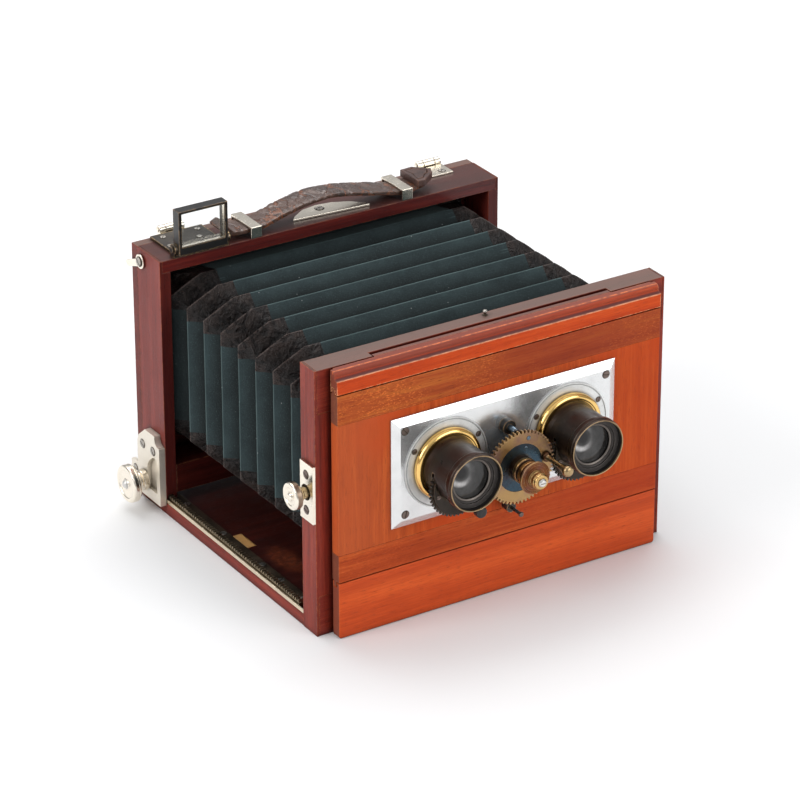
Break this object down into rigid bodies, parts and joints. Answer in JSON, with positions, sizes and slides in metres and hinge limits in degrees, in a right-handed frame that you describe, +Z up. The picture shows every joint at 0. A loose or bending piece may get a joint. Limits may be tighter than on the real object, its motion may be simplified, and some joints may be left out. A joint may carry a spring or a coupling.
{
  "type": "stereo view camera",
  "caption": "Wooden twin-lens bellows view camera on a flat bed, with a rack-focused rear standard, rising front, geared rotary shutter, folding finder and leather strap.",
  "frame": {"origin": "mouth of the threaded tripod bush, at the middle of the bed's underside", "axes": "+X to the right seen from the lenses, +Y from the lenses towards the focusing back, +Z up; the tripod screw enters along +Z"},
  "size_m": [0.2536, 0.2591, 0.191],
  "materials": {
    "mahogany_dark": "satin varnish, red mahogany",
    "mahogany_red": "satin varnish, orange-red mahogany",
    "mahogany_gold": "satin varnish, flecked golden grain",
    "black_wood": "matt black stain",
    "nickel": "worn nickel plate",
    "steel": "plain steel screws",
    "blued_steel": "heat-blued",
    "aluminium": "polished and turned",
    "brass": "polished",
    "old_brass": "patinated",
    "dark_bronze": "darkened, worn at the lips",
    "black_metal": "worn black lacquer",
    "cloth": "dark green book cloth with leather corners",
    "strap_leather": "cracked brown leather",
    "clear_glass": "polished",
    "lens_glass": "polished lens",
    "frosted_glass": "finely ground"
  },
  "bodies": {
    "bed": {"bed_floor": "mahogany_dark", "bed_rail_left": "mahogany_dark", "bed_rail_right": "mahogany_dark", "front_post_left": "mahogany_dark", "front_post_right": "mahogany_dark", "front_rail_top": "mahogany_dark", "front_rail_bottom": "mahogany_dark", "rack_left": "brass", "rack_right": "brass", "edge_strips": "brass", "base_strips": "dark_bronze", "bed_screws": "steel", "tripod_bush": "brass", "clamp_plate": "nickel", "bellows": "cloth"},
    "clamp": {"clamp_knob": "nickel"},
    "rising_front": {"front_shield": "black_wood", "front_cornice": "mahogany_red", "front_bottom_board": "mahogany_red"},
    "lens_board": {"lens_panel": "mahogany_red", "panel_batten_top": "mahogany_gold", "panel_batten_bottom": "mahogany_gold", "lens_plate": "aluminium", "lens_screws": "steel", "lens_flanges": "aluminium", "lens_rings": "brass", "barrel_left": "dark_bronze", "barrel_right": "dark_bronze", "lens_glasses": "lens_glass", "shutter_cases": "black_metal", "gear_bridge": "black_metal"},
    "shutter_gear": {"main_gear": "old_brass", "gear_disc": "blued_steel", "gear_drum": "old_brass", "drum_screw": "steel", "crank_peg": "steel"},
    "disc_left": {"shutter_disc_left": "old_brass"},
    "disc_right": {"shutter_disc_right": "old_brass"},
    "release": {"release_plunger": "steel"},
    "rear_standard": {"rear_post_left": "mahogany_dark", "rear_post_right": "mahogany_dark", "rear_rail_top": "mahogany_dark", "rear_rail_bottom": "mahogany_dark", "bracket_left": "nickel", "bracket_right": "nickel", "rear_screws": "steel", "finder_base": "black_metal", "strap_loops": "nickel", "strap": "strap_leather", "keeper_plate": "nickel", "hinge_leaves": "nickel"},
    "pinion": {"pinion_shaft": "steel", "focus_knob": "nickel"},
    "finder": {"finder_frame": "black_metal", "finder_glass": "clear_glass"},
    "hook": {"back_hook": "nickel"},
    "focusing_back": {"back_frame": "mahogany_dark", "back_hinges": "nickel", "ground_glass": "frosted_glass"}
  },
  "joints": [
    {"name": "front_clamp", "type": "hinge", "parent": "bed", "child": "clamp", "pos_m": [-0.115, -0.0925, 0.0876], "axis": [-1, 0, 0], "range_deg": [0, 540]},
    {"name": "front_rise", "type": "slide", "parent": "bed", "child": "rising_front", "axis": [0, 0, 1], "range_m": [0, 0.02]},
    {"name": "front_cross", "type": "slide", "parent": "rising_front", "child": "lens_board", "axis": [1, 0, 0], "range_m": [-0.01, 0.01]},
    {"name": "shutter_crank", "type": "hinge", "parent": "lens_board", "child": "shutter_gear", "pos_m": [0.0011, -0.125, 0.085], "axis": [0, -1, 0], "continuous": true},
    {"name": "shutter_left", "type": "hinge", "parent": "lens_board", "child": "disc_left", "pos_m": [-0.0389, -0.125, 0.085], "axis": [0, -1, 0], "continuous": true},
    {"name": "shutter_right", "type": "hinge", "parent": "lens_board", "child": "disc_right", "pos_m": [0.0411, -0.125, 0.085], "axis": [0, -1, 0], "continuous": true},
    {"name": "release_push", "type": "slide", "parent": "lens_board", "child": "release", "axis": [0, 1, 0], "range_m": [0, 0.003], "stiffness_N_per_m": 200, "springref_m": -0.001},
    {"name": "focus_slide", "type": "slide", "parent": "bed", "child": "rear_standard", "axis": [0, -1, 0], "range_m": [0, 0.148], "deforming": ["bellows"]},
    {"name": "focus_pinion", "type": "hinge", "parent": "rear_standard", "child": "pinion", "pos_m": [0, 0.088, 0.0172], "axis": [1, 0, 0], "range_deg": [0, 1516]},
    {"name": "finder_fold", "type": "hinge", "parent": "rear_standard", "child": "finder", "pos_m": [-0.087, 0.0718, 0.1672], "axis": [1, 0, 0], "range_deg": [-90, 0]},
    {"name": "hook_swing", "type": "hinge", "parent": "rear_standard", "child": "hook", "pos_m": [-0.116, 0.0918, 0.1547], "axis": [1, 0, 0], "range_deg": [0, 90]},
    {"name": "back_open", "type": "hinge", "parent": "rear_standard", "child": "focusing_back", "pos_m": [0, 0.106, 0.1644], "axis": [1, 0, 0], "range_deg": [0, 100]}
  ],
  "couplings": [
    {"joint": "shutter_left", "follows": "shutter_crank", "ratio": -1.1739},
    {"joint": "shutter_right", "follows": "shutter_crank", "ratio": -1.1739},
    {"joint": "focus_pinion", "follows": "focus_slide", "rad_per_m": 178.57}
  ]
}
